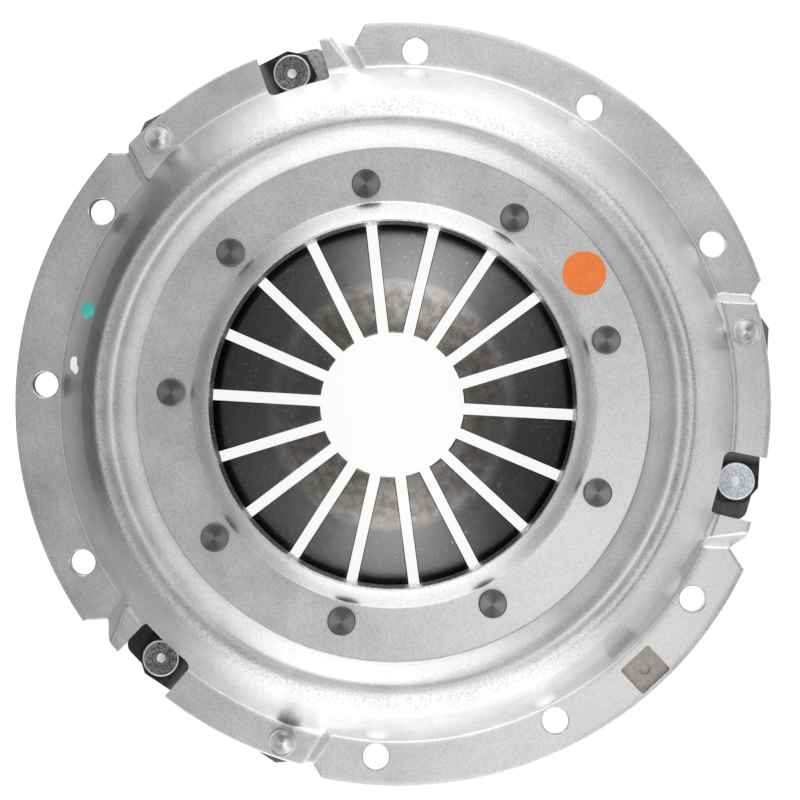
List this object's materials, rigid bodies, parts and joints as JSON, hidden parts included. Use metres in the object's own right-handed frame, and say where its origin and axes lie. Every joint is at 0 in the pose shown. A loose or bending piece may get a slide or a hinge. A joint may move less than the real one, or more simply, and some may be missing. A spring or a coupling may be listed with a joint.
{
  "type": "clutch pressure plate",
  "caption": "Diaphragm spring clutch cover assembly: pressed steel cover, slotted spring on wire rings and a cast pressure plate hung on leaf straps.",
  "frame": {"origin": "on the clutch axis, in the plane of the flange face that bolts to the flywheel", "axes": "+Z along the clutch axis, from the flywheel towards the release bearing; +X through the middle of the first raised strap sector"},
  "size_m": [0.2598, 0.265, 0.0364],
  "materials": {
    "cover_steel": "pressed steel, satin, lightly oiled, scuffed and specked along the crest",
    "insert_steel": "brown grey oxidised steel",
    "mark_orange": "plain orange paper dot, matt",
    "spring_steel": "dark phosphated spring steel with a polished heat tinted band on the fingers",
    "wire_steel": "drawn spring wire",
    "spring_rivet_steel": "bright forged steel, dark edges",
    "strap_steel": "black oxide spring strip, satin",
    "strap_rivet_steel": "bright domed steel",
    "lug_rivet_zinc": "zinc plated, textured, bright chamfered rim",
    "plate_iron": "grey cast iron, rough on the back, ground on the friction face"
  },
  "bodies": {
    "cover_body": {"cover": "cover_steel", "balance_insert": "insert_steel", "inspection_mark": "mark_orange", "diaphragm_spring": "spring_steel", "pivot_ring_upper": "wire_steel", "pivot_ring_lower": "wire_steel", "spring_rivet_1": "spring_rivet_steel", "spring_rivet_2": "spring_rivet_steel", "spring_rivet_3": "spring_rivet_steel", "spring_rivet_4": "spring_rivet_steel", "spring_rivet_5": "spring_rivet_steel", "spring_rivet_6": "spring_rivet_steel", "spring_rivet_7": "spring_rivet_steel", "spring_rivet_8": "spring_rivet_steel", "spring_rivet_9": "spring_rivet_steel", "strap_1_leaf_1": "strap_steel", "strap_1_leaf_2": "strap_steel", "strap_1_leaf_3": "strap_steel", "strap_rivet_1": "strap_rivet_steel", "strap_2_leaf_1": "strap_steel", "strap_2_leaf_2": "strap_steel", "strap_2_leaf_3": "strap_steel", "strap_rivet_2": "strap_rivet_steel", "strap_3_leaf_1": "strap_steel", "strap_3_leaf_2": "strap_steel", "strap_3_leaf_3": "strap_steel", "strap_rivet_3": "strap_rivet_steel"},
    "plate_body": {"pressure_plate": "plate_iron", "lug_rivet_1": "lug_rivet_zinc", "lug_rivet_2": "lug_rivet_zinc", "lug_rivet_3": "lug_rivet_zinc"}
  },
  "joints": [
    {"name": "plate_lift", "type": "slide", "parent": "cover_body", "child": "plate_body", "axis": [0, 0, 1], "range_m": [0, 0.0028], "stiffness_N_per_m": 20000, "deforming": ["diaphragm_spring", "strap_1_leaf_1", "strap_1_leaf_2", "strap_1_leaf_3", "strap_2_leaf_1", "strap_2_leaf_2", "strap_2_leaf_3", "strap_3_leaf_1", "strap_3_leaf_2", "strap_3_leaf_3"]}
  ]
}
